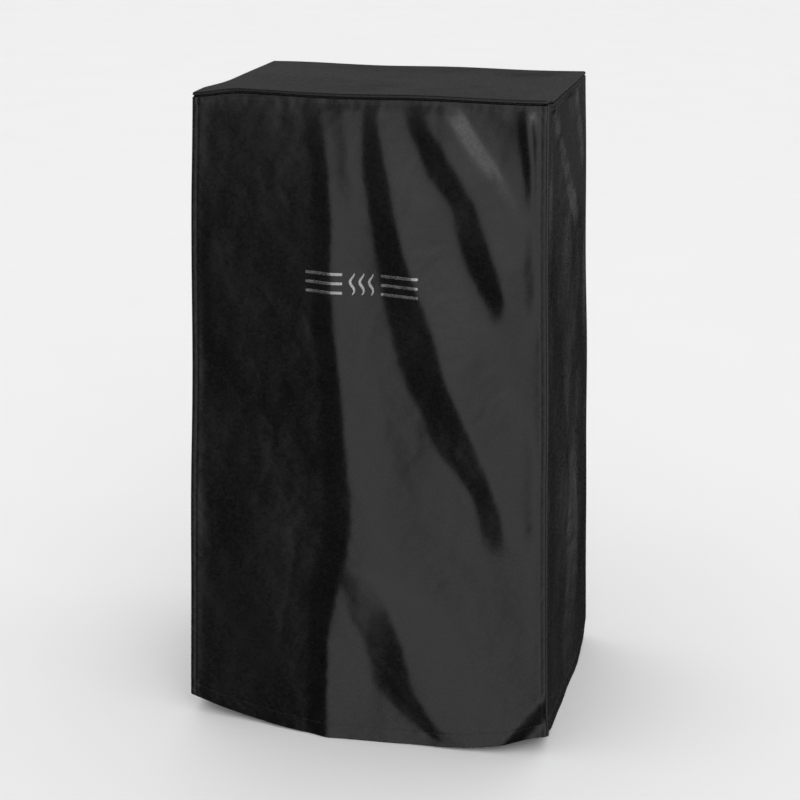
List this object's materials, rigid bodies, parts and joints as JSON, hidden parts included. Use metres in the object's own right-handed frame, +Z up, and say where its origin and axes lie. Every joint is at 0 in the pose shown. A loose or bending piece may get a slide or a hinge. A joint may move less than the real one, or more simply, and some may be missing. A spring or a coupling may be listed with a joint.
{
  "type": "smoker cover",
  "caption": "Slip-over coated fabric cover for a tall cabinet smoker: a flat top and four gently flared walls, open underneath, with taped seams and a turned-up hem.",
  "frame": {"origin": "centre of the base on the ground plane, level with the lowest point of the hem", "axes": "+Z up, front with the printed mark towards -Y, +X to the right of someone facing the front"},
  "size_m": [0.516, 0.38, 0.88],
  "materials": {
    "cloth": "satin",
    "cloth_inside": "matte",
    "seam_tape": "matte",
    "thread": "satin",
    "ink": "satin"
  },
  "bodies": {
    "root": {"top_panel": "cloth", "front_panel": "cloth", "back_panel": "cloth", "left_panel": "cloth", "right_panel": "cloth", "hem_front": "cloth_inside", "hem_back": "cloth_inside", "hem_left": "cloth_inside", "hem_right": "cloth_inside", "top_seam_tape": "seam_tape", "front_left_seam_tape": "seam_tape", "front_right_seam_tape": "seam_tape", "back_left_seam_tape": "seam_tape", "back_right_seam_tape": "seam_tape", "top_stitching": "thread", "front_left_stitching": "thread", "front_right_stitching": "thread", "back_left_stitching": "thread", "back_right_stitching": "thread", "hem_stitching": "thread", "front_print": "ink"}
  },
  "joints": []
}
